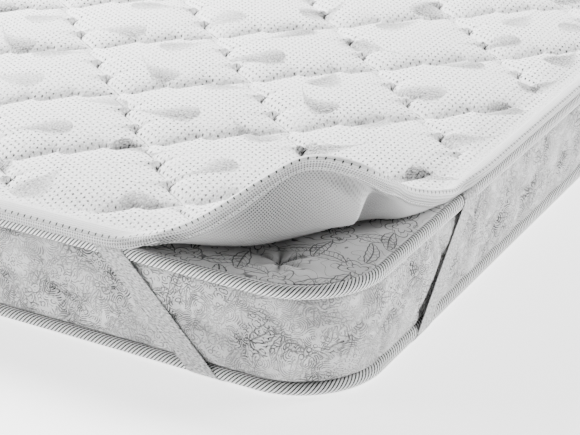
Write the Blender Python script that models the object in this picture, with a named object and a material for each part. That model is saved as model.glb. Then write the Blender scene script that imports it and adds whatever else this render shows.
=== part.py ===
"""Quilted mattress topper with corner straps, one corner lifted, on a plain mattress.

Units are metres, +Z is up, the mattress stands on z = 0 and its centre is at x = y = 0.
The topper is worked out flat, as it was sewn, and the lifted corner bends that flat shape.
"""

import math

import bmesh
import bpy
import numpy as np
from mathutils.geometry import delaunay_2d_cdt

# Mattress
HALF_WIDTH = 0.695  # to the centre line of the rolled tape
HALF_LENGTH = 0.995
CORNER_RADIUS = 0.140  # of that centre line
TAPE_RADIUS = 0.0105
TAPE_SIDES = 8
LOWER_TAPE_Z = 0.0131
UPPER_TAPE_Z = 0.1781
TOP_CORNER_RADIUS = 0.030  # least radius of an outline that is moved far in
SEAT = 0.0004  # clearance between pieces that touch
SHARP_ANGLE = 40.0

# Topper, heights measured from its underside
TOPPER_Z = 0.1904
RIM_OUT = 0.0095  # how far the bound rim stands outside the tape's centre line
BAND_IN = 0.012  # inner edge of the edge band
BINDING = 0.0012
PIECE_GAP = 0.0004
BACKING_STEP = 0.004  # width in which the backing steps down from under the band
RIM_HEIGHT = 0.0175
SEAM_HEIGHT = 0.0140
CROWN_HEIGHT = 0.0270

# Quilting: a square lattice stood on its point, with scalloped seams
HALF_DIAGONAL = 0.178
QUILT_SHIFT = (-0.022, 0.048)  # from the mattress's middle to the middle of a cell
SEAM_STEPS = 9
SCALLOPS = 3
SCALLOP_DEPTH = 0.017
SCALLOP_START = 0.72  # share of a scallop that is already past at the cell's point
SCALLOP_SLOW = 0.78  # share of a scallop that swells slowly before it turns back
SLOW_POWER = 1.4
QUICK_POWER = 1.2
SCALLOP_FADE = 0.10
CELL_RINGS = (  # share of the way to the cell's middle, points a side, share of the crown
    {"inset": 0.16, "points": 6, "crown": 0.66},
    {"inset": 0.50, "points": 3, "crown": 0.95},
    {"inset": 1.00, "points": 1, "crown": 1.00},
)
QUILT_START = 0.010  # from the edge band to the first quilted points
BORDER_RAMP = 0.030
CORNER_STEPS = 8
LIFT_STATIONS = 0.025  # spacing of the rim's stations where it lifts
LIFT_ALONG = {"end": 0.42, "side": 0.58}
FLAT_STATIONS = 0.120

# The lifted corner, a row for each rib that runs out to the rim: where the rib crosses the
# corner's diagonal frame, where it leaves the mattress, how steeply it rises, how much more it
# curls, which way it heads, how it leans and how long its first bend is. Lengths in metres,
# angles in degrees.
RIB_COLUMNS = ("across", "hinge", "rise", "curl", "heading", "lean", "bend")
RIBS = (
    (-0.310, -0.298, 42.9, 7.5, 1.1, -4.3, 0.070),
    (-0.250, -0.279, 78.3, 2.2, 6.7, -14.3, 0.080),
    (-0.200, -0.271, 82.2, -3.9, 21.7, -16.4, 0.100),
    (-0.140, -0.248, 92.3, -9.9, 13.0, -1.6, 0.100),
    (-0.080, -0.234, 96.7, -11.8, 6.2, 5.4, 0.100),
    (-0.020, -0.243, 89.0, -6.6, 3.4, 4.0, 0.100),
    (0.040, -0.263, 67.8, 1.9, 2.8, 1.7, 0.100),
    (0.090, -0.283, 49.6, 8.2, 3.5, 0.9, 0.090),
    (0.130, -0.284, 47.2, 11.8, 5.0, 0.7, 0.080),
    (0.170, -0.268, 65.1, 4.7, 6.6, 1.1, 0.070),
    (0.210, -0.277, 73.2, 1.8, 9.6, 5.4, 0.065),
    (0.260, -0.303, 73.3, 2.3, 11.7, 10.7, 0.060),
    (0.320, -0.340, 59.3, 3.9, 3.3, 8.9, 0.055),
    (0.400, -0.391, 44.7, 4.0, 0.0, 2.0, 0.050),
)
CURL_LENGTH = 0.100
UNDERSIDE_FOLDS = (  # soft lobes of the lifted underside: centre, reach and depth, metres
    {"across": 0.070, "out": -0.195, "reach_across": 0.034, "reach_out": 0.050, "depth": 0.012},
    {"across": 0.126, "out": -0.190, "reach_across": 0.024, "reach_out": 0.040, "depth": -0.013},
    {"across": 0.190, "out": -0.215, "reach_across": 0.036, "reach_out": 0.035, "depth": 0.008},
)
FOLD_FADE = 0.030  # in from the edge band
FOLD_CLEAR = 0.012  # lift below which the underside has no lobes
FOLD_FULL = 0.045
RIB_STEPS = 24
NORMAL_STEP = 0.0005
LIFT_REACH = 0.60  # sides of the corner that the close points of the underside cover
LIFT_POINT_SPACING = 0.022
UNDERSIDE_SPACING = 0.240

# Straps: where the middle of each strap meets the upper and the lower tape, from the corner
STRAP_WIDTH = 0.039
STRAP_THICK = 0.0012
STRAP_GAP = 0.0004
STRAP_TUCK = 0.022  # sewn on under the rim
STRAP_END_TOP = {"end": 0.400, "side": 0.463}
STRAP_END_LOW = {"end": 0.223, "side": 0.282}

COLOURS = {
    "knit": ((0.86, 0.86, 0.86), 0.85),
    "binding": ((0.88, 0.88, 0.88), 0.8),
    "elastic": ((0.62, 0.62, 0.62), 0.75),
    "damask": ((0.58, 0.58, 0.58), 0.7),
    "tape": ((0.60, 0.60, 0.60), 0.7),
}


# ---------------------------------------------------------------- shared shapes


def clear_scene():
    for item in list(bpy.data.objects):
        bpy.data.objects.remove(item, do_unlink=True)


def new_material(name):
    colour, roughness = COLOURS[name]
    material = bpy.data.materials.new(name)
    material.use_nodes = True
    shader = material.node_tree.nodes["Principled BSDF"]
    shader.inputs["Base Color"].default_value = (*colour, 1.0)
    shader.inputs["Roughness"].default_value = roughness
    shader.inputs["Metallic"].default_value = 0.0
    return material


def new_object(name, vertices, faces, material, collection):
    mesh = bpy.data.meshes.new(name)
    mesh.from_pydata([tuple(v) for v in vertices], [], faces)
    cleaner = bmesh.new()
    cleaner.from_mesh(mesh)
    bmesh.ops.recalc_face_normals(cleaner, faces=cleaner.faces)
    cleaner.to_mesh(mesh)
    cleaner.free()
    mesh.shade_smooth()
    mesh.set_sharp_from_angle(angle=math.radians(SHARP_ANGLE))
    mesh.materials.append(material)
    item = bpy.data.objects.new(name, mesh)
    collection.objects.link(item)
    return item


def outline(corner_steps, straight_stops=()):
    """Stations on the tape's centre line, counter-clockwise: rows of x, y and outward normal.

    straight_stops are extra places on a straight side: rows of a corner's signs, the side
    ("end" runs along x, "side" along y) and distances from that corner.
    """
    rows = []
    arc_x = HALF_WIDTH - CORNER_RADIUS
    arc_y = HALF_LENGTH - CORNER_RADIUS
    corners = ((1, -1, -90.0), (1, 1, 0.0), (-1, 1, 90.0), (-1, -1, 180.0))
    for sign_x, sign_y, start in corners:
        for step in range(corner_steps + 1):
            angle = math.radians(start + 90.0 * step / corner_steps)
            normal = (math.cos(angle), math.sin(angle))
            x = sign_x * arc_x + CORNER_RADIUS * normal[0]
            y = sign_y * arc_y + CORNER_RADIUS * normal[1]
            rows.append((x, y, *normal))
    for sign_x, sign_y, side, distances in straight_stops:
        for distance in distances:
            if side == "end":
                rows.append((sign_x * (HALF_WIDTH - distance), sign_y * HALF_LENGTH, 0, sign_y))
            else:
                rows.append((sign_x * HALF_WIDTH, sign_y * (HALF_LENGTH - distance), sign_x, 0))
    rows.sort(key=lambda row: perimeter_angle(row))
    return np.array(rows, dtype=float)


def perimeter_angle(row):
    """Order of a station round the centre."""
    return math.atan2(row[1], row[0])


def offset_loop(stations, offset):
    return stations[:, :2] + stations[:, 2:] * offset


def bridge(first, second, count, mirrored=False):
    """Triangles between two closed rings of vertices that start at the given indices.

    Skins that lie against each other are split along the same diagonals, so that they stay
    parallel where they twist: mirrored is for a ring pair that is listed the other way up.
    """
    faces = []
    for k in range(count):
        a, b = first + k, first + (k + 1) % count
        c, d = second + (k + 1) % count, second + k
        faces += [(a, b, d), (b, c, d)] if mirrored else [(a, b, c), (a, c, d)]
    return faces


def swept_ring(stations, outer, inner, name, material, collection, place=None):
    """A closed profile carried round the outline: (offset, height) points, out and back."""
    count = len(stations)
    profile = outer + inner
    vertices = []
    for offset, height in profile:
        loop = offset_loop(stations, offset)
        points = np.column_stack([loop, np.full(count, height)])
        vertices.extend(place(points) if place else points)
    faces = []
    for row in range(len(profile)):
        mirrored = row >= len(outer)
        faces += bridge(row * count, (row + 1) % len(profile) * count, count, mirrored)
    return new_object(name, vertices, faces, material, collection)


# ---------------------------------------------------------------- lifted corner


def hermite(knots, values, x):
    """Smooth curve through the table's values, with finite-difference slopes."""
    slopes = np.gradient(values, knots)
    x = np.clip(x, knots[0], knots[-1])
    k = np.clip(np.searchsorted(knots, x) - 1, 0, len(knots) - 2)
    span = knots[k + 1] - knots[k]
    t = (x - knots[k]) / span
    return (
        values[k] * (2 * t**3 - 3 * t**2 + 1)
        + values[k + 1] * (3 * t**2 - 2 * t**3)
        + slopes[k] * span * (t**3 - 2 * t**2 + t)
        + slopes[k + 1] * span * (t**3 - t**2)
    )


def lifted(flat):
    """Where the flat underside points (x, y) go when the corner at +X -Y is lifted."""
    table = {name: np.array(column) for name, column in zip(RIB_COLUMNS, zip(*RIBS))}
    x = flat[:, 0] - HALF_WIDTH
    y = flat[:, 1] + HALF_LENGTH
    out = (x - y) / math.sqrt(2)
    across = (x + y) / math.sqrt(2)
    knots = table["across"]
    rib = {name: hermite(knots, table[name], across) for name in RIB_COLUMNS[1:]}
    run = np.maximum(out - rib["hinge"], 0.0)
    run[(across < knots[0]) | (across > knots[-1])] = 0.0
    rise = np.radians(rib["rise"])
    curl = np.radians(rib["curl"])
    level = np.zeros(len(flat))
    height = np.zeros(len(flat))
    for step in range(RIB_STEPS):
        along = run * (step + 0.5) / RIB_STEPS
        t = np.clip(along / rib["bend"], 0.0, 1.0)
        past = np.maximum(along - rib["bend"], 0.0) / CURL_LENGTH
        angle = rise * (3 * t**2 - 2 * t**3) + curl * past
        level += np.cos(angle) * run / RIB_STEPS
        height += np.sin(angle) * run / RIB_STEPS
    heading = np.radians(rib["heading"])
    new_out = np.minimum(out, rib["hinge"]) + level * np.cos(heading)
    new_out = np.where(run > 0, new_out, out)
    new_across = across + level * np.sin(heading) + height * np.tan(np.radians(rib["lean"]))
    new_x = (new_out + new_across) / math.sqrt(2) + HALF_WIDTH
    new_y = (new_across - new_out) / math.sqrt(2) - HALF_LENGTH
    return np.column_stack([new_x, new_y, height + TOPPER_Z])


def place_on_topper(points):
    """Flat points (x, y, height above the underside) to their places in the lifted shape."""
    flat = points[:, :2]
    base = lifted(flat)
    along_x = lifted(flat + (NORMAL_STEP, 0)) - lifted(flat - (NORMAL_STEP, 0))
    along_y = lifted(flat + (0, NORMAL_STEP)) - lifted(flat - (0, NORMAL_STEP))
    normal = np.cross(along_x, along_y)
    normal /= np.linalg.norm(normal, axis=1, keepdims=True)
    return base + normal * points[:, 2:]


# ---------------------------------------------------------------- quilted pad


def scallop(share):
    """Depth of the scalloped seam at a share of a cell's side: sharp cusps, slow bulges."""
    t = (share * SCALLOPS + SCALLOP_START) % 1.0
    if t < SCALLOP_SLOW:
        return -SCALLOP_DEPTH * (1.0 - t / SCALLOP_SLOW) ** SLOW_POWER
    return -SCALLOP_DEPTH * ((t - SCALLOP_SLOW) / (1.0 - SCALLOP_SLOW)) ** QUICK_POWER


def cell_middle(column, row):
    return np.array((column, row)) * HALF_DIAGONAL + QUILT_SHIFT


def cell_corners(column, row):
    """The lower, right, upper and left point of a diamond cell."""
    x, y = cell_middle(column, row)
    reach = HALF_DIAGONAL
    return np.array([(x, y - reach), (x + reach, y), (x, y + reach), (x - reach, y)])


def cell_outline(column, row, points):
    """Points round a cell on its scalloped seams, the same number on each side."""
    corners = cell_corners(column, row)
    seam = []
    for side in range(4):
        start = corners[side]
        end = corners[(side + 1) % 4]
        bulge = np.array((1, -1) if side in (0, 2) else (1, 1)) / math.sqrt(2)
        for step in range(points):
            share = step / points
            from_left = share if side in (0, 3) else 1.0 - share
            from_end = min(from_left, 1.0 - from_left, SCALLOP_FADE)
            fade = math.sin(math.pi / 2 * from_end / SCALLOP_FADE)
            seam.append(start + (end - start) * share + bulge * scallop(from_left) * fade)
    return seam


def quilt_points():
    """Rows of x, y and height for the quilted top, inside the edge band."""
    rows = []
    columns = int(HALF_WIDTH / HALF_DIAGONAL) + 2
    lines = int(HALF_LENGTH / HALF_DIAGONAL) + 2
    for column in range(-columns, columns + 1):
        for row in range(-lines, lines + 1):
            if (column + row) % 2:
                continue
            centre = cell_middle(column, row)
            seam = cell_outline(column, row, SEAM_STEPS)
            seam = seam[:SEAM_STEPS] + seam[SEAM_STEPS + 1 : 2 * SEAM_STEPS]
            rows += [(*point, SEAM_HEIGHT) for point in seam]
            for ring in CELL_RINGS:
                height = SEAM_HEIGHT + (CROWN_HEIGHT - SEAM_HEIGHT) * ring["crown"]
                if ring["inset"] == 1.0:
                    rows.append((*centre, height))
                    continue
                edge = np.array(cell_outline(column, row, ring["points"]))
                inner = edge + (centre - edge) * ring["inset"]
                rows += [(*point, height) for point in inner]
    rows = np.array(rows)
    depth = edge_distance(rows[:, :2]) - BAND_IN
    rows = rows[depth > QUILT_START]
    depth = depth[depth > QUILT_START]
    share = np.clip(depth / BORDER_RAMP, 0, 1)
    share = share * share * (3 - 2 * share)
    rows[:, 2] = RIM_HEIGHT + (rows[:, 2] - RIM_HEIGHT) * share
    return rows


def edge_distance(points):
    """Distance inside the tape's centre line."""
    qx = np.abs(points[:, 0]) - (HALF_WIDTH - CORNER_RADIUS)
    qy = np.abs(points[:, 1]) - (HALF_LENGTH - CORNER_RADIUS)
    beyond = np.hypot(np.maximum(qx, 0), np.maximum(qy, 0))
    return CORNER_RADIUS - beyond - np.minimum(np.maximum(qx, qy), 0)


def underside_points(inset):
    """Points of the plain underside: coarse where it lies flat, close where it lifts."""
    rows = []
    across = np.arange(-HALF_WIDTH, HALF_WIDTH, UNDERSIDE_SPACING)
    along = np.arange(-HALF_LENGTH, HALF_LENGTH, UNDERSIDE_SPACING)
    for x in across + UNDERSIDE_SPACING / 2:
        for y in along + UNDERSIDE_SPACING / 2:
            if x - y < HALF_WIDTH + HALF_LENGTH - LIFT_REACH:
                rows.append((x, y))
    reach = np.arange(0.0, LIFT_REACH, LIFT_POINT_SPACING)
    for left in reach:
        for back in reach:
            if left + back < LIFT_REACH - LIFT_POINT_SPACING:
                rows.append((HALF_WIDTH - left, back - HALF_LENGTH))
    rows = np.array(rows)
    return rows[edge_distance(rows) > inset + LIFT_POINT_SPACING / 2]


def underside_folds(points, inset):
    """Heights of the underside's soft lobes, at flat points, fading out at the edge band."""
    x = points[:, 0] - HALF_WIDTH
    y = points[:, 1] + HALF_LENGTH
    out = (x - y) / math.sqrt(2)
    across = (x + y) / math.sqrt(2)
    heights = np.zeros(len(points))
    for fold in UNDERSIDE_FOLDS:
        a = (across - fold["across"]) / fold["reach_across"]
        b = (out - fold["out"]) / fold["reach_out"]
        heights -= fold["depth"] * np.exp(-a * a - b * b)
    lift = lifted(points)[:, 2] - TOPPER_Z
    heights *= np.clip((lift - FOLD_CLEAR) / (FOLD_FULL - FOLD_CLEAR), 0.0, 1.0)
    return heights * np.clip((edge_distance(points) - inset) / FOLD_FADE, 0.0, 1.0)


def filled_cap(loop, inner):
    """Triangles over a closed loop with inner points; the loop's vertices come first."""
    count = len(loop)
    points = [tuple(p) for p in np.vstack([loop, inner])]
    edges = [(k, (k + 1) % count) for k in range(count)]
    vertices, _, faces, origins, _, _ = delaunay_2d_cdt(points, edges, [], 1, 1e-7)
    if len(vertices) != len(points):
        raise ValueError("the outline crosses itself")
    order = [sources[0] for sources in origins]
    return [tuple(order[v] for v in face) for face in faces]


def build_pad(stations, material, collection):
    count = len(stations)
    gap = BINDING + PIECE_GAP
    rim = (  # offset from the tape's centre line, height above the underside
        (-BAND_IN, RIM_HEIGHT),
        (0.0018, RIM_HEIGHT - 0.0010),
        (RIM_OUT - gap, 0.0115),
        (RIM_OUT - gap, 0.0053),
        (0.0038, gap),
        (-BAND_IN, gap),
        (-BAND_IN - BACKING_STEP, 0.0),
    )
    vertices = []
    for offset, height in rim:
        loop = offset_loop(stations, offset)
        vertices.append(np.column_stack([loop, np.full(count, height)]))
    faces = []
    for row in range(len(rim) - 1):
        faces += bridge(row * count, (row + 1) * count, count)
    total = len(rim) * count

    top = quilt_points()
    top_faces = filled_cap(offset_loop(stations, rim[0][0]), top[:, :2])
    faces += [tuple(v if v < count else v - count + total for v in f) for f in top_faces]
    vertices.append(top)
    total += len(top)

    below = underside_points(BAND_IN + BACKING_STEP)
    low_faces = filled_cap(offset_loop(stations, rim[-1][0]), below)
    start = (len(rim) - 1) * count
    faces += [
        tuple(v + start if v < count else v - count + total for v in reversed(f))
        for f in low_faces
    ]
    vertices.append(np.column_stack([below, underside_folds(below, BAND_IN)]))
    flat = np.vstack(vertices)
    return new_object("topper_pad", place_on_topper(flat), faces, material, collection)


def build_binding(stations, material, collection):
    """The knitted band folded over the rim, as one closed C section."""
    outer = (
        (-BAND_IN, RIM_HEIGHT + PIECE_GAP + BINDING),
        (0.0024, RIM_HEIGHT + 0.0005),
        (RIM_OUT, 0.0124),
        (RIM_OUT, 0.0044),
        (0.0044, 0.0),
        (-BAND_IN, 0.0),
    )
    inner = (
        (-BAND_IN, BINDING),
        (0.0040, BINDING),
        (RIM_OUT - BINDING, 0.0050),
        (RIM_OUT - BINDING, 0.0118),
        (0.0020, RIM_HEIGHT - 0.0007),
        (-BAND_IN, RIM_HEIGHT + PIECE_GAP),
    )
    return swept_ring(
        stations, outer, inner, "edge_binding", material, collection, place_on_topper
    )


# ---------------------------------------------------------------- mattress


def build_mattress(stations, material, collection):
    """A closed body of stacked outlines, with a groove for each rolled tape."""
    groove = TAPE_RADIUS + SEAT
    diagonal = groove * math.sqrt(0.5)
    levels = (  # offset from the tape's centre line, height
        (-0.175, 0.0),
        (-0.150, 0.0030),
        (-0.020, 0.0030),
        (-diagonal, LOWER_TAPE_Z - diagonal),
        (-groove, LOWER_TAPE_Z),
        (-diagonal, LOWER_TAPE_Z + diagonal),
        (-0.0030, LOWER_TAPE_Z + groove + 0.0010),
        (0.0025, LOWER_TAPE_Z + 0.045),
        (0.0035, (LOWER_TAPE_Z + UPPER_TAPE_Z) / 2),
        (0.0025, UPPER_TAPE_Z - 0.045),
        (-0.0030, UPPER_TAPE_Z - groove - 0.0010),
        (-diagonal, UPPER_TAPE_Z - diagonal),
        (-groove, UPPER_TAPE_Z),
        (-diagonal - 0.0010, UPPER_TAPE_Z + diagonal - 0.0010),
        (-0.030, UPPER_TAPE_Z + 0.0090),
        (-0.080, TOPPER_Z - SEAT),
    )
    count = len(stations)
    vertices = []
    for offset, height in levels:
        loop = inset_loop(stations, offset)
        vertices += [(x, y, height) for x, y in loop]
    faces = []
    for row in range(len(levels) - 1):
        faces += bridge(row * count, (row + 1) * count, count)
    faces.append(tuple(range(count)))
    faces.append(tuple(range((len(levels) - 1) * count, len(levels) * count)))
    return new_object("mattress", vertices, faces, material, collection)


def inset_loop(stations, offset):
    """An outline moved in or out; its corners keep a small radius when it moves far in."""
    limit = TOP_CORNER_RADIUS - CORNER_RADIUS
    if offset >= limit:
        return offset_loop(stations, offset)
    loop = offset_loop(stations, limit)
    scale = np.array(
        [
            (HALF_WIDTH + offset) / (HALF_WIDTH + limit),
            (HALF_LENGTH + offset) / (HALF_LENGTH + limit),
        ]
    )
    return loop * scale


def build_tape(name, height, stations, material, collection):
    section = []
    for side in range(TAPE_SIDES):
        angle = 2 * math.pi * side / TAPE_SIDES
        section.append((TAPE_RADIUS * math.cos(angle), height + TAPE_RADIUS * math.sin(angle)))
    return swept_ring(stations, tuple(section), (), name, material, collection)


# ---------------------------------------------------------------- straps


def wall_section():
    """The strap's inner line in a plane across the mattress's edge, top to bottom.

    Rows of distance outside the tape's centre line, height and outward normal.
    """
    clear = TAPE_RADIUS + STRAP_GAP
    rows = [(-STRAP_TUCK, UPPER_TAPE_Z + clear, 0.0, 1.0)]
    for tape_z, angles in ((UPPER_TAPE_Z, (90, 60, 30, 0)), (LOWER_TAPE_Z, (0, -30, -60, -90))):
        for degrees in angles:
            angle = math.radians(degrees)
            normal = (math.cos(angle), math.sin(angle))
            rows.append((clear * normal[0], tape_z + clear * normal[1], *normal))
    return rows


def strap_sections(side):
    """Sections from under the rim to under the mattress: rows of two edge points, on a side.

    Each row holds the distance from the corner along the side at the two strap edges, the
    distance outside the tape's centre line, the height, and the outward normal.
    """
    rows = wall_section()
    travelled = [0.0]
    for before, after in zip(rows, rows[1:]):
        travelled.append(travelled[-1] + math.hypot(after[0] - before[0], after[1] - before[1]))
    upper = travelled[1] + (travelled[4] - travelled[1]) / 2
    lower = travelled[5] + (travelled[8] - travelled[5]) / 2
    slope = (STRAP_END_TOP[side] - STRAP_END_LOW[side]) / (lower - upper)
    half = STRAP_WIDTH / 2 * math.hypot(1.0, slope)
    sections = []
    for row, distance in zip(rows, travelled):
        middle = STRAP_END_TOP[side] - slope * (distance - upper)
        sections.append((middle - half, middle + half, *row))
    return sections


def strap_points(side, section, thick):
    """The near and far point of a strap section, in the frame of the corner at +X -Y."""
    near, far, offset, height, level, rise = section
    offset += level * thick
    height += rise * thick
    if side == "end":
        return (-near, -offset, height), (-far, -offset, height)
    return (offset, near, height), (offset, far, height)


def build_strap(name, sign_x, sign_y, material, collection):
    rows = []
    for side in ("end", "side"):
        sections = strap_sections(side)
        if side == "side":
            sections.reverse()
        for section in sections:
            near_in, far_in = strap_points(side, section, 0.0)
            near_out, far_out = strap_points(side, section, STRAP_THICK)
            rows.append((near_in, far_in, far_out, near_out))
    vertices = []
    for row in rows:
        for x, y, z in row:
            vertices.append((sign_x * (HALF_WIDTH + x), -sign_y * (y - HALF_LENGTH), z))
    faces = []
    for k in range(len(rows) - 1):
        faces += bridge(4 * k, 4 * (k + 1), 4)
    faces.append((0, 1, 2, 3))
    last = 4 * (len(rows) - 1)
    faces.append((last, last + 1, last + 2, last + 3))
    return new_object(name, vertices, faces, material, collection)


# ---------------------------------------------------------------- the whole part


def main():
    clear_scene()
    collection = bpy.data.collections.new("mattress_topper")
    bpy.context.scene.collection.children.link(collection)
    materials = {name: new_material(name) for name in COLOURS}

    lift_left = np.arange(CORNER_RADIUS, LIFT_ALONG["end"], LIFT_STATIONS) + LIFT_STATIONS
    lift_right = np.arange(CORNER_RADIUS, LIFT_ALONG["side"], LIFT_STATIONS) + LIFT_STATIONS
    flat_left = np.arange(lift_left[-1], 2 * HALF_WIDTH - CORNER_RADIUS, FLAT_STATIONS)[1:]
    flat_right = np.arange(lift_right[-1], 2 * HALF_LENGTH - CORNER_RADIUS, FLAT_STATIONS)[1:]
    flat_end = np.arange(CORNER_RADIUS, 2 * HALF_WIDTH - CORNER_RADIUS, FLAT_STATIONS)[1:]
    flat_side = np.arange(CORNER_RADIUS, 2 * HALF_LENGTH - CORNER_RADIUS, FLAT_STATIONS)[1:]
    rim_stations = outline(
        CORNER_STEPS,
        (
            (1, -1, "end", lift_left),
            (1, -1, "side", lift_right),
            (1, -1, "end", flat_left),
            (1, -1, "side", flat_right),
            (-1, 1, "end", flat_end),
            (-1, 1, "side", flat_side),
        ),
    )
    plain_stations = outline(CORNER_STEPS)

    build_pad(rim_stations, materials["knit"], collection)
    build_binding(rim_stations, materials["binding"], collection)
    build_mattress(plain_stations, materials["damask"], collection)
    build_tape("upper_tape", UPPER_TAPE_Z, plain_stations, materials["tape"], collection)
    build_tape("lower_tape", LOWER_TAPE_Z, plain_stations, materials["tape"], collection)
    straps = (
        ("strap_front_right", 1, -1),
        ("strap_back_right", 1, 1),
        ("strap_back_left", -1, 1),
        ("strap_front_left", -1, -1),
    )
    for name, sign_x, sign_y in straps:
        build_strap(name, sign_x, sign_y, materials["elastic"], collection)


main()
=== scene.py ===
"""A quilted mattress topper with corner straps on its mattress, one corner lifted.

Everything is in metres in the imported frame: the mattress stands on z = 0, its length runs along
Y, and the lifted corner is at +X -Y.
"""

import math

import bpy
import numpy as np
from mathutils import Matrix, Vector
from mathutils.geometry import delaunay_2d_cdt


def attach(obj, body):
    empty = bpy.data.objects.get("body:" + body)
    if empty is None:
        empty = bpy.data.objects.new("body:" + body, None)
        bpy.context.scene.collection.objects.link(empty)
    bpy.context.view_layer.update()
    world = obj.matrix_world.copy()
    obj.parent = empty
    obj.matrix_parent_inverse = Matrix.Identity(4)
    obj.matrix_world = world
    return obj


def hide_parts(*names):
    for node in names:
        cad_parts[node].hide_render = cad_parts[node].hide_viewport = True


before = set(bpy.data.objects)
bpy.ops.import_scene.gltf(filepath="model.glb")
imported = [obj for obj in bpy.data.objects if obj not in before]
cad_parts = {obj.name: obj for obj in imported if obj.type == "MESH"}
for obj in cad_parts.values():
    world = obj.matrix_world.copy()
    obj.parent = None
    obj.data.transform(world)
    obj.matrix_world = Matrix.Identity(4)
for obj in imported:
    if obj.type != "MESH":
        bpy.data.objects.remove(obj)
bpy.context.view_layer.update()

# ---------------------------------------------------------------- camera, floor and light
# A long lens looks down on the near corner from a little way off. The floor is plain and pale.
# A broad soft light comes from behind the left side, with a weaker one on each side of it.

CAMERA_PLACE = (1.7840, -3.2024, 1.4714)
CAMERA_LENS = 117.71
CAMERA_TURN = 28.0
CAMERA_TILT = 65.0
CAMERA_ROLL = 1.063

camera_data = bpy.data.cameras.new("camera")
camera_data.lens = CAMERA_LENS
camera_data.sensor_width = 36.0
camera_data.clip_end = 100.0
camera = bpy.data.objects.new("camera", camera_data)
camera.matrix_world = (
    Matrix.Translation(CAMERA_PLACE)
    @ Matrix.Rotation(math.radians(CAMERA_TURN), 4, "Z")
    @ Matrix.Rotation(math.radians(CAMERA_TILT), 4, "X")
    @ Matrix.Rotation(math.radians(CAMERA_ROLL), 4, "Z")
)
bpy.context.scene.collection.objects.link(camera)
bpy.context.scene.camera = camera


def grey(value):
    return (value, value, value, 1.0)


floor_mesh = bpy.data.meshes.new("floor")
floor_mesh.from_pydata(
    [(-40, -40, 0), (40, -40, 0), (40, 40, 0), (-40, 40, 0)], [], [(0, 1, 2, 3)]
)
floor = bpy.data.objects.new("floor", floor_mesh)
bpy.context.scene.collection.objects.link(floor)
floor_material = bpy.data.materials.new("floor")
floor_material.use_nodes = True
floor_shader = floor_material.node_tree.nodes["Principled BSDF"]
floor_shader.inputs["Base Color"].default_value = grey(0.93)
floor_shader.inputs["Roughness"].default_value = 0.9
floor_shader.inputs["Emission Color"].default_value = grey(1.0)
floor_shader.inputs["Emission Strength"].default_value = 2.2
floor_mesh.materials.append(floor_material)

studio = bpy.data.worlds.new("studio")
studio.use_nodes = True
studio.node_tree.nodes["Background"].inputs["Color"].default_value = grey(1.0)
studio.node_tree.nodes["Background"].inputs["Strength"].default_value = 0.15
bpy.context.scene.world = studio

LAMPS = (
    {"place": (-3.9, 1.2, 2.7), "faces": (0.2, -0.5, 0.2), "size": 1.5, "power": 1450.0},
    {"place": (-3.4, -2.5, 1.7), "faces": (0.1, -0.7, 0.1), "size": 1.4, "power": 150.0},
    {"place": (3.6, 2.4, 2.2), "faces": (0.6, -0.5, 0.1), "size": 1.8, "power": 330.0},
)
for number, lamp in enumerate(LAMPS):
    light_data = bpy.data.lights.new(f"lamp_{number}", "AREA")
    light_data.size = lamp["size"]
    light_data.energy = lamp["power"]
    light = bpy.data.objects.new(f"lamp_{number}", light_data)
    light.location = lamp["place"]
    aim = Vector(lamp["faces"]) - Vector(lamp["place"])
    light.rotation_euler = aim.to_track_quat("-Z", "Y").to_euler()
    bpy.context.scene.collection.objects.link(light)

# ---------------------------------------------------------------- mattress
# A sprung mattress about 19 cm high: a padded border of soft jacquard, quilted in low waves,
# and a crowned top panel with woven flowers, sewn together under the two rolled tapes.

HALF_WIDTH = 0.695  # to the centre line of the rolled tapes
HALF_LENGTH = 0.995
CORNER_RADIUS = 0.140
TAPE_RADIUS = 0.0105
TAPE_HEIGHTS = {"lower_tape": 0.0131, "upper_tape": 0.1781}
TOPPER_Z = 0.1904
ARC_X = HALF_WIDTH - CORNER_RADIUS
ARC_Y = HALF_LENGTH - CORNER_RADIUS
QUARTER = CORNER_RADIUS * math.pi / 2
PERIMETER = 4 * (ARC_X + ARC_Y + QUARTER)


def edge_line(travel):
    """Points and outward normals at distances along the tape's centre line."""
    result = np.zeros((len(travel), 4))
    start = 0.0
    legs = ((1, 0, ARC_X), (0, 1, ARC_Y), (-1, 0, ARC_X), (0, -1, ARC_Y))
    for turn, (along_x, along_y, half) in enumerate(legs):
        side = np.array((along_y, -along_x), dtype=float)
        forward = np.array((along_x, along_y), dtype=float)
        here = (travel >= start) & (travel < start + 2 * half)
        out = HALF_LENGTH if turn % 2 == 0 else HALF_WIDTH
        line = side * out + forward * (travel[here] - start - half)[:, None]
        result[here] = np.column_stack([line, np.tile(side, (here.sum(), 1))])
        start += 2 * half
        here = (travel >= start) & (travel < start + QUARTER)
        angle = (travel[here] - start) / CORNER_RADIUS + math.pi / 2 * (turn - 1)
        normal = np.column_stack([np.cos(angle), np.sin(angle)])
        middle = np.array(((1, -1), (1, 1), (-1, 1), (-1, -1))[turn]) * (ARC_X, ARC_Y)
        result[here] = np.column_stack([middle + CORNER_RADIUS * normal, normal])
        start += QUARTER
    return result


def stations(count):
    return np.arange(count) * (PERIMETER / count)


def carried(line, offsets, heights):
    """Rows of a profile carried round the edge: array of rows, stations, x y z."""
    least = 0.030 - CORNER_RADIUS
    rows = []
    for offset, height in zip(offsets, heights):
        loop = line[:, :2] + line[:, 2:] * np.maximum(offset, least)[..., None]
        if np.min(offset) < least:
            scale = (HALF_WIDTH + offset) / (HALF_WIDTH + least)
            scale = np.array((scale, (HALF_LENGTH + offset) / (HALF_LENGTH + least)))
            loop = loop * scale
        rows.append(np.column_stack([loop, np.broadcast_to(height, len(line))]))
    return np.array(rows)


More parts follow.
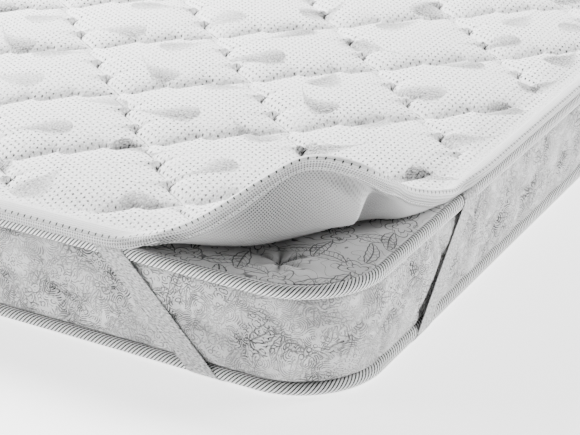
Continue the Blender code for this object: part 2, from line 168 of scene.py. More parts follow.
def ring_faces(rows, count, closed=False):
    """Quads between rings of vertices, the last row joined to the first if closed."""
    ring = np.arange(count)
    ahead = (ring + 1) % count
    faces = []
    for row in range(rows if closed else rows - 1):
        low = row * count
        high = (row + 1) % rows * count
        faces.append(np.column_stack([low + ring, low + ahead, high + ahead, high + ring]))
    return np.vstack(faces)


def new_piece(name, points, faces, flat, around=0.0):
    """A smooth mesh with its flat cloth coordinates, which run on where a ring closes."""
    mesh = bpy.data.meshes.new(name)
    mesh.from_pydata(points.tolist(), [], [list(map(int, face)) for face in faces])
    corners = np.empty(len(mesh.loops), dtype=np.int32)
    mesh.loops.foreach_get("vertex_index", corners)
    places = flat[corners]
    if around:
        sizes = np.array([len(face) for face in faces])
        starts = np.concatenate([[0], np.cumsum(sizes)[:-1]])
        far = np.maximum.reduceat(places[:, 0], starts)
        far = np.repeat(far, sizes)
        places[:, 0] += np.where(far - places[:, 0] > around / 2, around, 0.0)
    mesh.uv_layers.new(name="cloth").data.foreach_set("uv", places.astype(np.float32).ravel())
    mesh.shade_smooth()
    piece = bpy.data.objects.new(name, mesh)
    bpy.context.scene.collection.objects.link(piece)
    return piece


def profile_travel(offsets, heights):
    steps = np.hypot(np.diff(offsets), np.diff(heights))
    return np.concatenate([[0.0], np.cumsum(steps)])


MATTRESS_STATIONS = 1000
PUFFS = 46  # quilted puffs in each of the border's two staggered rows
PUFF_DEPTH = 0.0080
PUFF_SEAM = 0.010
TUFT = {"place": (0.551, -0.915), "depth": 0.0140, "reach": 0.050}

travel = stations(MATTRESS_STATIONS)
line = edge_line(travel)
groove = TAPE_RADIUS + 0.0003
low_z = TAPE_HEIGHTS["lower_tape"]
high_z = TAPE_HEIGHTS["upper_tape"]
profile = [(-0.400, 0.0), (-0.175, 0.0), (-0.150, 0.0030), (-0.020, 0.0030)]
for degrees in (-135, -165, 165, 130):
    angle = math.radians(degrees)
    profile.append((groove * math.cos(angle), low_z + groove * math.sin(angle)))
wall_rows = 26
wall_low = low_z + 0.0095
wall_high = high_z - 0.0095
for row in range(wall_rows + 1):
    share = row / wall_rows
    bulge = 0.0134 * max(math.sin(math.pi * share), 0.0) ** 0.30
    profile.append((bulge - 0.0035, wall_low + (wall_high - wall_low) * share))
for degrees in (-130, -165, 165, 135):
    angle = math.radians(degrees)
    profile.append((groove * math.cos(angle), high_z + groove * math.sin(angle)))
top_in = np.concatenate([np.linspace(0.014, 0.210, 44), np.linspace(0.232, 0.430, 10)])
for inward in top_in:
    rise = 1.0 - (1.0 - min(inward / 0.085, 1.0)) ** 2.0
    profile.append((-inward, high_z + 0.0062 + (0.0119 - 0.0062) * rise))
profile = np.array(profile)
shape = carried(line, profile[:, 0], profile[:, 1])
first_wall = 8
puff_step = PERIMETER / PUFFS
puff_middles = []
for number in range(2 * PUFFS):
    along = (number / 2 + 0.16 * math.sin(number * 2.4)) * puff_step
    up = 0.30 + 0.40 * (number % 2) + 0.07 * math.sin(number * 1.7)
    puff_middles.append((along % PERIMETER, wall_low + up * (wall_high - wall_low)))
puff_middles = np.array(puff_middles)
for row in range(first_wall, first_wall + wall_rows + 1):
    share = (row - first_wall) / wall_rows
    height = wall_low + share * (wall_high - wall_low)
    apart = np.abs(travel[:, None] - puff_middles[:, 0])
    apart = np.minimum(apart, PERIMETER - apart)
    apart = np.sort(np.hypot(apart, 1.25 * (height - puff_middles[:, 1])), axis=1)
    near = (apart[:, 1] - apart[:, 0]) / 2
    dent = PUFF_DEPTH * np.exp(-near / PUFF_SEAM)
    dent *= np.clip(min(share, 1 - share) / 0.10, 0, 1)
    shape[row, :, :2] -= line[:, 2:] * dent[:, None]
top = shape[-len(top_in) :]
away = np.hypot(top[..., 0] - TUFT["place"][0], top[..., 1] - TUFT["place"][1])
spoke = np.arctan2(top[..., 1] - TUFT["place"][1], top[..., 0] - TUFT["place"][0])
pull = 0.5 + 0.5 * np.cos(6 * spoke + 0.8 + 0.7 * np.sin(2 * spoke))
sink = TUFT["depth"] * np.exp(-away / 0.012)
sink += 0.0060 * pull**2 * np.exp(-((away / TUFT["reach"]) ** 2)) * np.clip(away / 0.012, 0, 1)
top[..., 2] -= sink
points = shape.reshape(-1, 3)
faces = [tuple(face) for face in ring_faces(len(profile), MATTRESS_STATIONS)]
faces.append(tuple(range(MATTRESS_STATIONS))[::-1])
faces.append(tuple(range(len(points) - MATTRESS_STATIONS, len(points))))
down = profile_travel(profile[:, 0], profile[:, 1])
flat = np.column_stack([np.tile(travel, len(profile)), np.repeat(down, MATTRESS_STATIONS)])
first_top = first_wall + wall_rows + 3
panel = np.arange(len(points)) >= first_top * MATTRESS_STATIONS
flat[panel] = points[panel, :2]
mattress = new_piece("mattress_cover", points, faces, flat, PERIMETER)


class Wire:
    """A socket among a material's nodes. Sums on it add the nodes that work them out."""

    def __init__(self, tree, socket=None):
        self.tree = tree
        self.socket = socket

    def node(self, kind, settings=None, inputs=None, output=0):
        made = self.tree.nodes.new("ShaderNode" + kind)
        for name, value in (settings or {}).items():
            setattr(made, name, value)
        for name, value in (inputs or {}).items():
            if isinstance(value, Wire):
                self.tree.links.new(value.socket, made.inputs[name])
            else:
                made.inputs[name].default_value = value
        return Wire(self.tree, made.outputs[output])

    def math(self, operation, *values):
        return self.node("Math", {"operation": operation}, dict(enumerate(values)))

    def __add__(self, other):
        return self.math("ADD", self, other)

    __radd__ = __add__

    def __sub__(self, other):
        return self.math("SUBTRACT", self, other)

    def __rsub__(self, other):
        return self.math("SUBTRACT", other, self)

    def __mul__(self, other):
        return self.math("MULTIPLY", self, other)

    __rmul__ = __mul__

    def __truediv__(self, other):
        return self.math("DIVIDE", self, other)

    def __pow__(self, other):
        return self.math("POWER", self, other)

    def least(self, other):
        return self.math("MINIMUM", self, other)

    def most(self, other):
        return self.math("MAXIMUM", self, other)

    def plain(self, operation):
        return self.math(operation, self)

    def ramp(self, low, high):
        """0 at low, 1 at high, smooth between; low may be the larger."""
        return self.node(
            "MapRange",
            {"interpolation_type": "SMOOTHSTEP"},
            {"Value": self, "From Min": low, "From Max": high},
        )

    def repeat(self, pitch, shift=0.0):
        """Signed distance to the nearest of evenly spaced lines."""
        return ((self / pitch + (0.5 + shift)).plain("FRACT") - 0.5) * pitch

    def shade(self, first, second):
        """From the first colour at 0 to the second at 1."""
        settings = {"data_type": "RGBA"}
        return self.node("Mix", settings, {0: self, 6: first, 7: second}, output=2)

    def noise(self, where, scale, detail=2.0, roughness=0.5):
        inputs = {"Vector": where, "Scale": scale, "Detail": detail, "Roughness": roughness}
        return self.node("TexNoise", None, inputs)


class Cloth:
    """A material whose colour and relief are painted in the cloth's own flat metres."""

    def __init__(self, name, roughness, sheen=0.0):
        self.material = bpy.data.materials.new(name)
        self.material.use_nodes = True
        tree = self.material.node_tree
        self.shader = tree.nodes["Principled BSDF"]
        self.shader.inputs["Roughness"].default_value = roughness
        self.shader.inputs["Specular IOR Level"].default_value = 0.25
        self.shader.inputs["Sheen Weight"].default_value = sheen
        self.shader.inputs["Sheen Roughness"].default_value = 0.5
        self.paint = Wire(tree)
        self.flat = self.paint.node("UVMap", {"uv_map": "cloth"})
        split = {"Vector": self.flat}
        self.x = self.paint.node("SeparateXYZ", None, split, output=0)
        self.y = self.paint.node("SeparateXYZ", None, split, output=1)

    def finish(self, colour, height, depth=0.001):
        """height is in metres of relief; depth is only the bump node's unit."""
        tree = self.material.node_tree
        bump = self.paint.node(
            "Bump", None, {"Height": height / depth, "Distance": depth, "Strength": 1.0}
        )
        tree.links.new(colour.socket, self.shader.inputs["Base Color"])
        tree.links.new(bump.socket, self.shader.inputs["Normal"])
        return self.material


def line_at(distance, width=0.0016):
    """1 on a woven line, from the distance to it."""
    return distance.plain("ABSOLUTE").ramp(width, width * 0.4)


def flower(x, y, petals, reach):
    """Outline, inner ring and petal folds of an open flower."""
    radius = (x**2 + y**2).plain("SQRT")
    angle = y.math("ARCTAN2", y, x)
    lobe = (angle * (petals / 2)).plain("COSINE").plain("ABSOLUTE")
    rim = radius - (lobe * 0.42 + 0.58) * reach
    inner = radius - (lobe * 0.30 + 0.25) * reach
    fold = (angle * (petals / 2)).plain("SINE").plain("ABSOLUTE") * radius
    fold = line_at(fold) * inner.ramp(0.0, 0.001) * rim.ramp(-0.004, -0.008)
    return line_at(rim).most(line_at(inner)).most(fold)


def sprig_leaf(x, y, turn, length, wide):
    """Outline, midrib and side veins of a leaf that springs from the origin."""
    along = (x * math.cos(turn) + y * math.sin(turn)) / length
    aside = y * math.cos(turn) - x * math.sin(turn)
    aside = aside - (along**2) * (length * 0.25)
    inside = (along * (1.0 - along) * 4.0).most(0.0)
    wave = (along * 30.0).plain("SINE") * 0.0006
    edge = aside.plain("ABSOLUTE") - inside**0.8 * wide - wave
    within = inside.ramp(0.0, 0.10) * edge.ramp(0.0015, 0.0)
    veins = (along * length - aside.plain("ABSOLUTE") * 0.8).repeat(0.0085)
    drawn = line_at(edge).most(line_at(aside)).most(line_at(veins, 0.0007) * edge.ramp(0.0, -0.002))
    return drawn * within.ramp(0.0, 0.5)


ROSETTE = 0.036  # across the larger and the smaller woven motif
SPRIG = 0.012
BORDER_TILE = 0.105
border = Cloth("border_jacquard", 0.62, sheen=0.25)
bend = border.paint.noise(border.flat, 16.0, 1.0)
bend_x = border.x + (bend - 0.5) * 0.034
bend_y = border.y + (border.paint.noise(border.flat, 13.0, 1.0) - 0.5) * 0.034
bent = border.paint.node("CombineXYZ", None, {"X": bend_x, "Y": bend_y})
rosettes = {"Vector": bent, "Scale": 1 / ROSETTE, "Randomness": 0.9}
rosette = border.paint.node("TexVoronoi", {"voronoi_dimensions": "2D"}, rosettes) * ROSETTE
sprigs = {"Vector": bent, "Scale": 1 / SPRIG, "Randomness": 1.0}
sprig = border.paint.node("TexVoronoi", {"voronoi_dimensions": "2D"}, sprigs) * SPRIG
rings = rosette.repeat(0.0036).plain("ABSOLUTE").ramp(0.0004, 0.0011)
petals = sprig.repeat(0.0042, 0.2).plain("ABSOLUTE").ramp(0.0003, 0.0009)
kind = border.paint.noise(border.flat, 15.0, 1.0).ramp(0.46, 0.54)
broken = border.paint.noise(border.flat, 90.0, 1.0).ramp(0.38, 0.52)
lines = (1.0 - (rings * kind + petals * (1.0 - kind))) * broken
for shift in (0.0, BORDER_TILE / 2):
    spray_x = (bend_x + shift).repeat(BORDER_TILE)
    spray_y = (bend_y + shift + 0.01).repeat(BORDER_TILE)
    lines = lines.most(flower(spray_x, spray_y, 5, 0.020) * 0.7)
    for turn, length, wide in ((0.9, 0.046, 0.010), (2.6, 0.040, 0.009), (4.4, 0.048, 0.011)):
        root_x = spray_x - 0.018 * math.cos(turn)
        root_y = spray_y - 0.018 * math.sin(turn)
        lines = lines.most(sprig_leaf(root_x, root_y, turn, length, wide) * 0.7)
strength = border.paint.noise(border.flat, 12.0, 2.0).ramp(0.30, 0.66)
weave = border.paint.noise(border.flat, 700.0, 1.0)
cloud = border.paint.noise(border.flat, 14.0, 2.0)
tone = 0.545 - lines * (strength * 0.32 + 0.22) + (weave - 0.5) * 0.60 + (cloud - 0.5) * 0.65
relief = lines * -0.0014 + weave * 0.0005
mattress.data.materials.append(border.finish(tone.shade(grey(0.0), grey(1.0)), relief))

PANEL_TILE = 0.170
damask = Cloth("panel_damask", 0.6, sheen=0.25)
sway_x = damask.x + (damask.paint.noise(damask.flat, 8.0, 0.0) - 0.5) * 0.040
sway_y = damask.y + (damask.paint.noise(damask.flat, 9.0, 0.0) - 0.5) * 0.040


LEAVES = ((0.2, 0.070, 0.014), (1.7, 0.060, 0.012), (2.9, 0.074, 0.015), (4.6, 0.064, 0.013))


def damask_tile(shift_x, shift_y):
    """One flower with leaves, in the middle of every tile."""
    x = (sway_x + shift_x).repeat(PANEL_TILE)
    y = (sway_y + shift_y).repeat(PANEL_TILE)
    drawn = flower(x, y, 5, 0.030)
    for turn, length, wide in LEAVES:
        root_x = x - 0.026 * math.cos(turn)
        root_y = y - 0.026 * math.sin(turn)
        drawn = drawn.most(sprig_leaf(root_x, root_y, turn, length, wide))
    return drawn


drawn = damask_tile(0.012, 0.030)
second = damask_tile(0.012 + PANEL_TILE / 2, 0.030 + PANEL_TILE / 2)
ground = damask.paint.noise(damask.flat, 26.0, 1.0)
tendrils = ((ground * 5.0).plain("FRACT") - 0.5).plain("ABSOLUTE").ramp(0.045, 0.015)
drawn = drawn.most(second).most(tendrils * 0.8)
weave = damask.paint.noise(damask.flat, 800.0, 1.0)
cloud = damask.paint.noise(damask.flat, 20.0, 2.0)
tuft_x = damask.x - TUFT["place"][0]
tuft_y = damask.y - TUFT["place"][1]
tuft_far = (tuft_x**2 + tuft_y**2).plain("SQRT")
spokes = (tuft_x.math("ARCTAN2", tuft_y, tuft_x) * 3.0 + 0.4).plain("COSINE").plain("ABSOLUTE")
# Painted shade: the tuft's pit and the folds spreading from it are painted darker where shade falls
# in them.
tuft_fold_shade = (spokes**6) * tuft_far.ramp(0.060, 0.008) * 0.42 + tuft_far.ramp(0.014, 0.003) * 0.35
drawn = drawn * (1.0 - tuft_far.ramp(0.055, 0.020) * 0.7)
tone = 0.57 - drawn * 0.50 - tuft_fold_shade + (weave - 0.5) * 0.20 + (cloud - 0.5) * 0.20
relief = drawn * -0.0006 + weave * 0.0003
mattress.data.materials.append(damask.finish(tone.shade(grey(0.0), grey(1.0)), relief))
kinds = np.zeros(len(faces), dtype=np.int32)
kinds[first_top * MATTRESS_STATIONS :] = 1
kinds[-2] = 0
mattress.data.polygons.foreach_set("material_index", kinds)

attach(mattress, "root")
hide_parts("mattress")

# ---------------------------------------------------------------- rolled tapes
# Diagonal twill tape, sewn as a firm roll over the joins of the border with the top and the
# bottom panel. The thick twill stands up in slanting ridges all the way round.

RIDGE_PITCH = 0.0070
RIDGES = int(round(PERIMETER / RIDGE_PITCH))
RIDGE_STEPS = 5
RIDGE_TURNS = 8
RIDGE_RISE = 0.0011
TAPE_SIDES = 14

twill = Cloth("twill_tape", 0.7, sheen=0.2)
phase = twill.x * (RIDGES / PERIMETER) - twill.y * RIDGE_TURNS
valley = (phase.plain("FRACT") - 0.5).plain("ABSOLUTE")
grain = twill.paint.noise(twill.flat, 900.0, 1.0)
gap = valley.ramp(0.20, 0.40)
# Painted shade: the gaps between the ridges are painted near black for the shade in the grooves.
tape_colour = gap.shade(grey(0.86), grey(0.02))
tape_material = twill.finish(tape_colour, grain * 0.0002 - gap * 0.0006)

travel = stations(RIDGES * RIDGE_STEPS)
line = edge_line(travel)
for name, height in TAPE_HEIGHTS.items():
    rows = []
    for side in range(TAPE_SIDES):
        around = side / TAPE_SIDES
        angle = 2 * math.pi * around - math.pi / 2
        phase = travel * (RIDGES / PERIMETER) - around * RIDGE_TURNS
        ridge = 1.0 - np.abs(np.cos(math.pi * phase)) ** 3
        radius = TAPE_RADIUS + RIDGE_RISE * (ridge - 0.6)
        loop = line[:, :2] + line[:, 2:] * (radius * math.cos(angle))[:, None]
        rows.append(np.column_stack([loop, height + radius * math.sin(angle)]))
    points = np.array(rows).reshape(-1, 3)
    faces = ring_faces(TAPE_SIDES, len(travel), closed=True)
    round_it = np.repeat(np.arange(TAPE_SIDES) / TAPE_SIDES, len(travel))
    flat = np.column_stack([np.tile(travel, TAPE_SIDES), round_it])
    tape = new_piece(name.replace("tape", "tape_roll"), points, faces, flat, PERIMETER)
    layer = tape.data.uv_layers["cloth"].data
    last = (TAPE_SIDES - 1) * len(travel) * 4
    for corner in range(last, len(layer)):
        if layer[corner].uv[1] < 0.5:
            layer[corner].uv[1] = 1.0
    tape.data.materials.append(tape_material)
    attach(tape, "root")
    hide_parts(name)

# ---------------------------------------------------------------- corner straps
# Flat woven elastic 39 mm wide, sewn on under the topper's rim. Each strap is stretched down
# one side at a slant, under the mattress's corner and up the other side.

STRAP_WIDTH = 0.039
STRAP_THICK = 0.0009
STRAP_GAP = 0.0004
STRAP_TUCK = 0.022
STRAP_SAG = 0.0005  # towards the border, between the tapes
STRAP_COLUMNS = 10
STRAP_TOP = {"end": 0.400, "side": 0.463}
STRAP_LOW = {"end": 0.223, "side": 0.282}
STRAPS = {
    "strap_front_right": (1, -1),
    "strap_back_right": (1, 1),
    "strap_back_left": (-1, 1),
    "strap_front_left": (-1, -1),
}


def strap_wall():
    """The strap's inner line across the mattress's edge: offset, height and normal."""
    clear = TAPE_RADIUS + STRAP_GAP
    high, low = TAPE_HEIGHTS["upper_tape"], TAPE_HEIGHTS["lower_tape"]
    rows = [(-STRAP_TUCK * k / 3, high + clear, 0.0, 1.0) for k in (3, 2, 1)]
    for degrees in range(90, -1, -10):
        angle = math.radians(degrees)
        level, rise = math.cos(angle), math.sin(angle)
        rows.append((clear * level, high + clear * rise, level, rise))
    for k in range(1, 16):
        sag = STRAP_SAG * math.sin(math.pi * k / 16)
        rows.append((clear - sag, high + (low - high) * k / 16, 1.0, 0.0))
    for degrees in range(0, -91, -10):
        angle = math.radians(degrees)
        level, rise = math.cos(angle), math.sin(angle)
        rows.append((clear * level, low + clear * rise, level, rise))
    return np.array(rows)


def strap_half(side):
    """Middle points, directions across and normals of one leg, for the corner at +X -Y."""
    wall = strap_wall()
    down = profile_travel(wall[:, 0], wall[:, 1])
    quarter = (TAPE_RADIUS + STRAP_GAP) * math.pi / 4
    upper = down[3] + quarter
    lower = down[-1] - quarter
    slope = (STRAP_TOP[side] - STRAP_LOW[side]) / (lower - upper)
    middle = STRAP_TOP[side] - slope * (down - upper)
    half = STRAP_WIDTH / 2 * math.hypot(1.0, slope)
    zero = np.zeros(len(wall))
    if side == "end":
        places = np.column_stack([-middle, -wall[:, 0], wall[:, 1]])
        normals = np.column_stack([zero, -wall[:, 2], wall[:, 3]])
        across = np.array((-half, 0.0, 0.0))
    else:
        places = np.column_stack([wall[:, 0], middle, wall[:, 1]])
        normals = np.column_stack([wall[:, 2], zero, wall[:, 3]])
        across = np.array((0.0, half, 0.0))
    return places, normals, np.tile(across, (len(wall), 1))


CORD_PITCH = 0.0013
PICK_PITCH = 0.0022
elastic = Cloth("woven_elastic", 0.75, sheen=0.15)
cords = elastic.y.repeat(CORD_PITCH).plain("ABSOLUTE").ramp(0.0002, 0.00065)
picks = elastic.x.repeat(PICK_PITCH).plain("ABSOLUTE").ramp(0.0003, 0.0011)
fuzz = elastic.paint.noise(elastic.flat, 280.0, 1.0)
edge = (elastic.y - STRAP_WIDTH / 2).plain("ABSOLUTE").ramp(0.0165, 0.0190)
tone = 0.47 - cords * 0.060 - picks * 0.050 + (fuzz - 0.5) * 1.30 - edge * 0.12
elastic_relief = fuzz * 0.00025 - cords * 0.00015 - picks * 0.0001
elastic_material = elastic.finish(tone.shade(grey(0.0), grey(1.0)), elastic_relief)

for name, (sign_x, sign_y) in STRAPS.items():
    first = strap_half("end")
    second = [part[::-1] for part in strap_half("side")]
    places, normals, across = (np.vstack(pair) for pair in zip(first, second))
    spread = np.linspace(-1.0, 1.0, STRAP_COLUMNS)
    thick = STRAP_THICK * (1.0 - 0.25 * spread**8)
    inner = places[:, None] + across[:, None] * spread[None, :, None]
    outer = inner + normals[:, None] * thick[None, :, None]
    section = np.concatenate([inner, outer[:, ::-1]], axis=1)
    section = section * (sign_x, -sign_y, 1) + (sign_x * HALF_WIDTH, sign_y * HALF_LENGTH, 0)
    rows, count = section.shape[:2]
    faces = [tuple(face) for face in ring_faces(rows, count)]
    faces += [tuple(range(count))[::-1], tuple(range((rows - 1) * count, rows * count))]
    if sign_x * sign_y > 0:
        faces = [face[::-1] for face in faces]
    steps = np.linalg.norm(np.diff(places, axis=0), axis=1)
    along = np.concatenate([[0.0], np.cumsum(steps)])
    over = (spread + 1) / 2 * STRAP_WIDTH
    over = np.concatenate([over, over[::-1]])
    flat = np.column_stack([np.repeat(along, count), np.tile(over, rows)])
    strap = new_piece(name.replace("strap", "elastic_strap"), section.reshape(-1, 3), faces, flat)
    strap.data.set_sharp_from_angle(angle=math.radians(50))
    strap.data.materials.append(elastic_material)
    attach(strap, "root")
    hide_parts(name)

# ---------------------------------------------------------------- quilted pad
# White pin-dotted knit over a soft filling, quilted through to a knitted backing in scalloped
# seams on a lattice that stands on its point. The near corner is bent up off the mattress.

HALF_DIAGONAL = 0.178
QUILT_SHIFT = (-0.022, 0.048)  # from the mattress's middle to the middle of a cell
CELL_SIDE = HALF_DIAGONAL * math.sqrt(2)
CELL_STEPS = 41
SCALLOPS = 3
SCALLOP_DEPTH = 0.017
SCALLOP_START = 0.72
SCALLOP_SLOW = 0.78
SCALLOP_FADE = 0.10
RIM_HEIGHT = 0.0175
SEAM_HEIGHT = 0.0100
CROWN_HEIGHT = 0.0285
BAND_IN = 0.012
BORDER_RAMP = 0.085
KNOB_OUT = 0.006
KNOB_RISE = 0.0036
KNOB_IN = 0.007
KNOB_RADIUS = 0.0095
RIB_COLUMNS = ("across", "hinge", "rise", "curl", "heading", "lean", "bend")
RIBS = (
    (-0.310, -0.298, 42.9, 7.5, 1.1, -4.3, 0.070),
    (-0.250, -0.279, 78.3, 2.2, 6.7, -14.3, 0.080),
    (-0.200, -0.271, 82.2, -3.9, 21.7, -16.4, 0.100),
    (-0.140, -0.248, 92.3, -9.9, 13.0, -1.6, 0.100),
    (-0.080, -0.234, 96.7, -11.8, 6.2, 5.4, 0.100),
    (-0.020, -0.243, 89.0, -6.6, 3.4, 4.0, 0.100),
    (0.040, -0.263, 67.8, 1.9, 2.8, 1.7, 0.100),
    (0.090, -0.283, 49.6, 8.2, 3.5, 0.9, 0.090),
    (0.130, -0.284, 47.2, 11.8, 5.0, 0.7, 0.080),
    (0.170, -0.268, 65.1, 4.7, 6.6, 1.1, 0.070),
    (0.210, -0.277, 73.2, 1.8, 9.6, 5.4, 0.065),
    (0.260, -0.303, 73.3, 2.3, 11.7, 10.7, 0.060),
    (0.320, -0.340, 59.3, 3.9, 3.3, 8.9, 0.055),
    (0.400, -0.391, 44.7, 4.0, 0.0, 2.0, 0.050),
)
CURL_LENGTH = 0.100
RIB_STEPS = 24


def hermite(knots, values, x):
    """Smooth curve through the table's values."""
    slopes = np.gradient(values, knots)
    x = np.clip(x, knots[0], knots[-1])
    k = np.clip(np.searchsorted(knots, x) - 1, 0, len(knots) - 2)
    span = knots[k + 1] - knots[k]
    t = (x - knots[k]) / span
    return (
        values[k] * (2 * t**3 - 3 * t**2 + 1)
        + values[k + 1] * (3 * t**2 - 2 * t**3)
        + slopes[k] * span * (t**3 - 2 * t**2 + t)
        + slopes[k + 1] * span * (t**3 - t**2)
    )


def diagonal(flat):
    """Distance out towards the corner at +X -Y, and across its diagonal."""
    x = flat[:, 0] - HALF_WIDTH
    y = flat[:, 1] + HALF_LENGTH
    return (x - y) / math.sqrt(2), (x + y) / math.sqrt(2)


def lifted(flat):
    """Where the flat underside points go when the corner is lifted."""
    table = {name: np.array(column) for name, column in zip(RIB_COLUMNS, zip(*RIBS))}
    out, across = diagonal(flat)
    knots = table["across"]
    rib = {name: hermite(knots, table[name], across) for name in RIB_COLUMNS[1:]}
    run = np.maximum(out - rib["hinge"], 0.0)
    run[(across < knots[0]) | (across > knots[-1])] = 0.0
    level = np.zeros(len(flat))
    height = np.zeros(len(flat))
    for step in range(RIB_STEPS):
        along = run * (step + 0.5) / RIB_STEPS
        t = np.clip(along / rib["bend"], 0.0, 1.0)
        past = np.maximum(along - rib["bend"], 0.0) / CURL_LENGTH
        angle = np.radians(rib["rise"] * (3 * t**2 - 2 * t**3) + rib["curl"] * past)
        level += np.cos(angle) * run / RIB_STEPS
        height += np.sin(angle) * run / RIB_STEPS
    heading = np.radians(rib["heading"])
    new_out = np.minimum(out, rib["hinge"]) + level * np.cos(heading)
    new_out = np.where(run > 0, new_out, out)
    new_across = across + level * np.sin(heading) + height * np.tan(np.radians(rib["lean"]))
    new_x = (new_out + new_across) / math.sqrt(2) + HALF_WIDTH
    new_y = (new_across - new_out) / math.sqrt(2) - HALF_LENGTH
    return np.column_stack([new_x, new_y, height + TOPPER_Z])


DROOP_DOWN = 0.0085
DROOP_TOP = 0.0050
DROOP_OUT = 0.0035


def drooped(points):
    """Flat points with the rim sagging over the upper tape along the mattress's near end."""
    points = points.copy()
    beyond = -HALF_LENGTH - points[:, 1]
    lift = lifted(points[:, :2])[:, 2] - TOPPER_Z
    weight = 1.0 - smooth(np.abs(points[:, 0]), ARC_X - 0.05, ARC_X + 0.05)
    weight *= smooth(beyond, -0.012, 0.006)
    up = np.clip(points[:, 2] / RIM_HEIGHT, 0.0, 1.0)
    low = weight * (1.0 - smooth(lift, 0.004, 0.035)) * (1.0 - up)
    high = weight * (1.0 - smooth(lift, 0.0, 0.008)) * up
    points[:, 1] -= (low + high) * DROOP_OUT
    points[:, 2] -= low * DROOP_DOWN + high * DROOP_TOP
    beyond = -HALF_LENGTH - points[:, 1]
    over = points[:, 2] + TOPPER_Z - TAPE_HEIGHTS["upper_tape"]
    near = np.hypot(beyond, over)
    push = np.where(weight > 0, np.maximum(1.0, (TAPE_RADIUS + 0.0006) / near), 1.0)
    points[:, 1] -= beyond * (push - 1.0)
    points[:, 2] += over * (push - 1.0)
    return points


def on_topper(points):
    """Flat points (x, y, height above the underside) in their places on the lifted topper."""
    points = drooped(points)
    flat = points[:, :2]
    step = 0.0005
    along_x = lifted(flat + (step, 0)) - lifted(flat - (step, 0))
    along_y = lifted(flat + (0, step)) - lifted(flat - (0, step))
    normal = np.cross(along_x, along_y)
    normal /= np.linalg.norm(normal, axis=1, keepdims=True)
    return lifted(flat) + normal * points[:, 2:]


def edge_depth(points):
    """Distance inside the tape's centre line."""
    qx = np.abs(points[:, 0]) - ARC_X
    qy = np.abs(points[:, 1]) - ARC_Y
    beyond = np.hypot(np.maximum(qx, 0), np.maximum(qy, 0))
    return CORNER_RADIUS - beyond - np.minimum(np.maximum(qx, qy), 0)


def smooth(value, low, high):
    t = np.clip((value - low) / (high - low), 0.0, 1.0)
    return t * t * (3 - 2 * t)


def scallop(share):
    """Depth of the scalloped seam at a share of a cell's side, from its left end."""
    share = share % 1.0
    t = (share * SCALLOPS + SCALLOP_START) % 1.0
    slow = (1.0 - t / SCALLOP_SLOW).clip(0) ** 1.4
    quick = ((t - SCALLOP_SLOW) / (1.0 - SCALLOP_SLOW)).clip(0) ** 1.2
    near = np.minimum(np.minimum(share, 1.0 - share), SCALLOP_FADE)
    knob = KNOB_OUT * np.exp(-(((t - SCALLOP_SLOW) / 0.085) ** 2))
    depth = knob - (SCALLOP_DEPTH - KNOB_OUT) * np.where(t < SCALLOP_SLOW, slow, quick)
    return depth * np.sin(math.pi / 2 * near / SCALLOP_FADE)


def crown(share):
    """Rise of the filling from a seam at 0 to the cell's middle at 1."""
    return 0.58 * (1 - (1 - share) ** 10) + 0.42 * (1 - (1 - share) ** 2.4)


def cell_steps(close):
    """Places across nine cells each way, closer together at the given shares of a cell."""
    share = np.linspace(0.0, 1.0, 2001)
    amount = np.full(len(share), 0.55)
    for place, weight in close:
        apart = np.abs(share - place)
        amount += weight * np.exp(-((np.minimum(apart, 1.0 - apart) / 0.05) ** 2))
    run = np.concatenate([[0.0], np.cumsum(amount[1:] + amount[:-1])])
    one = np.interp(np.arange(CELL_STEPS) / CELL_STEPS, run / run[-1], share)
    return (np.arange(-9, 9)[:, None] + one).ravel()


def quilted_points():
    """Rows of x, y and height for the quilted top, inside the edge band."""
    tips = [1.0 - (turn + SCALLOP_SLOW - SCALLOP_START) / SCALLOPS for turn in (1, 2)]
    rows = cell_steps([(0.0, 1.9)])
    columns = cell_steps([(0.0, 1.9), (tips[0], 1.2), (tips[1], 1.2)])
    p, q = (grid.ravel() for grid in np.meshgrid(rows, columns))
    from_p = np.abs(p - np.round(p)) * 2
    from_q = np.abs(q - np.round(q)) * 2
    hold_p = 1.0 - smooth(from_p, 0.0, 1.0)
    hold_q = 1.0 - smooth(from_q, 0.0, 1.0)
    falling = scallop(p) * hold_q  # moves seams of constant q
    rising = scallop(1.0 - q) * hold_p
    a = p * CELL_SIDE + rising
    b = q * CELL_SIDE + falling
    x = (a - b) / math.sqrt(2) + QUILT_SHIFT[0]
    y = (a + b) / math.sqrt(2) - HALF_DIAGONAL + QUILT_SHIFT[1]
    puff = crown(from_p) * crown(from_q)
    height = SEAM_HEIGHT + (CROWN_HEIGHT - SEAM_HEIGHT) * puff
    gather = np.sin(p * 88 + 2.1 * np.sin(q * 7)) * np.exp(-from_q * 9)
    gather += np.sin(q * 82 + 1.7 * np.sin(p * 9)) * np.exp(-from_p * 9)
    height += 0.0009 * gather * puff
    aside = (p - np.round(p)) * CELL_SIDE + KNOB_IN
    for turn in (1, 2):
        knob = 1.0 - q - (turn + SCALLOP_SLOW - SCALLOP_START) / SCALLOPS
        along = (knob - np.round(knob)) * CELL_SIDE
        away = np.hypot(along, aside) / KNOB_RADIUS
        height += KNOB_RISE * np.exp(-(away**4))
    crease = np.exp(-((np.minimum(from_p, from_q) * CELL_SIDE / 2 / 0.004) ** 2))
    height -= 0.0012 * crease
    rows = np.column_stack([x, y, height, p, q])
    rows = rows[(np.abs(x) < HALF_WIDTH) & (np.abs(y) < HALF_LENGTH)]
    depth = edge_depth(rows) - BAND_IN
    rows = rows[depth > 0.004]
    share = smooth(depth[depth > 0.004], 0.002, BORDER_RAMP)
    rows[:, 2] = RIM_HEIGHT + 0.0004 + (rows[:, 2] - RIM_HEIGHT - 0.0004) * share
    return rows


